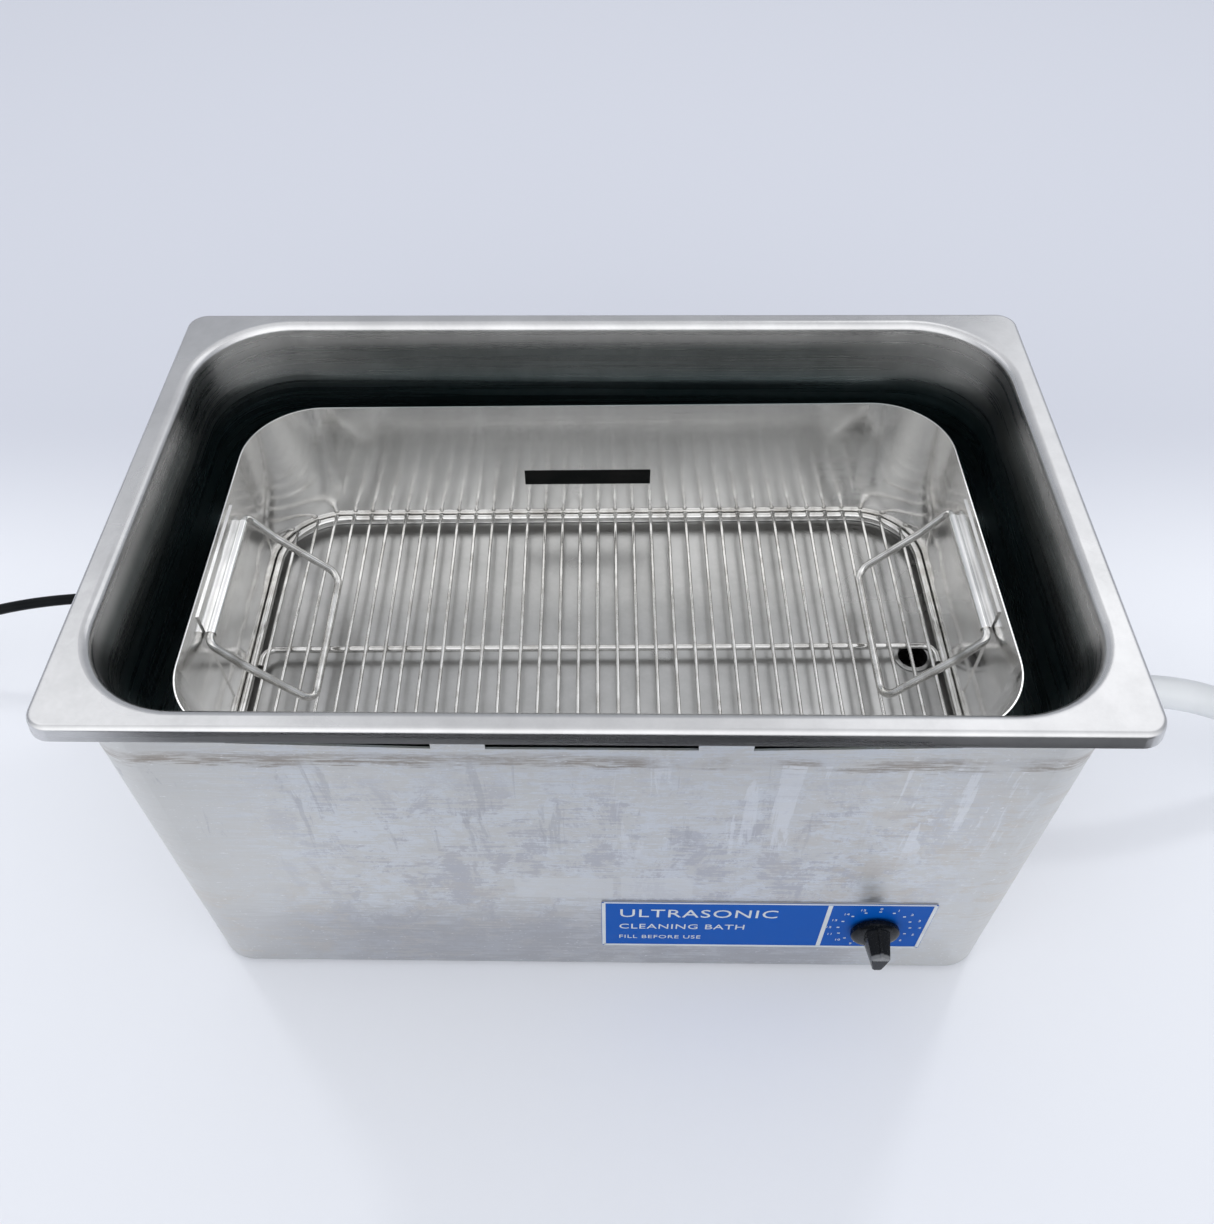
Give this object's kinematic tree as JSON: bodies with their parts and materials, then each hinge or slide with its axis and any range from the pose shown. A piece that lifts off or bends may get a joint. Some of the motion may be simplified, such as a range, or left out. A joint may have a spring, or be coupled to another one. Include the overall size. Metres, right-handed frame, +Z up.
{
  "type": "ultrasonic cleaner",
  "caption": "Bench ultrasonic cleaner: a drawn stainless tank in a sheet casing with a timer knob, a lift-out wire basket with swing handles, a side drain valve with hose, and a mains cord.",
  "frame": {"origin": "on the surface that the feet stand on, under the middle of the object's box without its free cord and hose", "axes": "+X to the right along the long side, as seen from the timer side; +Y to the back; +Z up"},
  "size_m": [1.3653, 0.4314, 0.289],
  "materials": {
    "brushed_stainless": "brushed and slightly water-marked",
    "drawn_stainless": "satin, scuffed at the rim",
    "basket_sheet": "fine brushed",
    "bright_wire": "bright drawn wire",
    "label_blue": "printed aluminium, satin",
    "black_label": "gloss film",
    "black_plastic": "moulded, slightly worn",
    "black_rubber": "matte",
    "grey_rubber": "matte",
    "white_hose": "smooth flexible vinyl",
    "brass": "machined, dull",
    "plug_metal": "bright",
    "zinc_steel": "zinc plated",
    "aluminium": "turned",
    "piezo_ceramic": "fired ceramic with silvered faces",
    "copper": "bare foil and enamelled wire",
    "circuit_board": "solder-masked laminate",
    "ferrite": "sintered",
    "component_plastic": "moulded",
    "fuse_glass": "clear",
    "lever_red": "dipped vinyl on steel"
  },
  "bodies": {
    "cleaner": {"tank": "drawn_stainless", "rim_gasket": "grey_rubber", "casing_shell": "brushed_stainless", "base_plate": "brushed_stainless", "rubber_feet": "black_rubber", "foot_rivets": "zinc_steel", "base_screws": "zinc_steel", "label_plate": "label_blue", "timer_body": "component_plastic", "timer_nut": "zinc_steel", "transducer_horns": "aluminium", "transducer_discs": "piezo_ceramic", "transducer_electrodes": "copper", "transducer_tail_masses": "zinc_steel", "transducer_bolts": "zinc_steel", "generator_board": "circuit_board", "board_standoffs": "brass", "board_screws": "zinc_steel", "heat_sink": "aluminium", "power_transistors": "component_plastic", "transformer_core": "ferrite", "transformer_winding": "copper", "filter_capacitors": "component_plastic", "choke_coil": "copper", "terminal_block": "component_plastic", "mains_fuse": "fuse_glass", "fuse_clips": "brass", "inner_leads": "black_plastic", "drain_flange": "drawn_stainless", "drain_gasket": "black_rubber", "drain_nut": "brass", "drain_elbow": "brass", "drain_pipe": "brass", "wall_nuts": "brass", "valve_body": "brass", "hose_barb": "brass", "hose_clamp": "zinc_steel", "drain_hose": "white_hose", "strain_relief": "black_rubber", "power_cord": "black_rubber", "cord_coil": "black_rubber", "cord_tie": "black_rubber", "cord_tail": "black_rubber", "plug_body": "black_rubber", "plug_blades": "plug_metal"},
    "timer_dial": {"timer_shaft": "zinc_steel", "timer_knob": "black_plastic"},
    "drain_lever": {"valve_ball": "zinc_steel", "valve_stem": "brass", "valve_lever": "lever_red", "lever_nut": "zinc_steel"},
    "basket": {"basket_band": "basket_sheet", "basket_ring": "bright_wire", "grid_wires": "bright_wire", "middle_wire": "bright_wire", "left_hinge": "basket_sheet", "right_hinge": "basket_sheet", "basket_label": "black_label"},
    "left_bail": {"left_handle": "bright_wire"},
    "right_bail": {"right_handle": "bright_wire"}
  },
  "joints": [
    {"name": "timer_turn", "type": "hinge", "parent": "cleaner", "child": "timer_dial", "pos_m": [0.171, -0.1445, 0.063], "axis": [0, 1, 0], "range_deg": [0, 337.5], "stiffness_Nm_per_rad": 0.01},
    {"name": "drain_turn", "type": "hinge", "parent": "cleaner", "child": "drain_lever", "pos_m": [0.2805, 0.0065, 0.105], "axis": [0, 0, 1], "range_deg": [0, 90]},
    {"name": "basket_lift", "type": "slide", "parent": "cleaner", "child": "basket", "axis": [0, 0, 1], "range_m": [0, 0.2]},
    {"name": "left_handle_turn", "type": "hinge", "parent": "basket", "child": "left_bail", "pos_m": [-0.22138, 0.00341, 0.218], "axis": [0.014, -0.9999, 0], "range_deg": [0, 147]},
    {"name": "right_handle_turn", "type": "hinge", "parent": "basket", "child": "right_bail", "pos_m": [0.22138, 0.00959, 0.218], "axis": [-0.014, 0.9999, 0], "range_deg": [0, 147]}
  ]
}
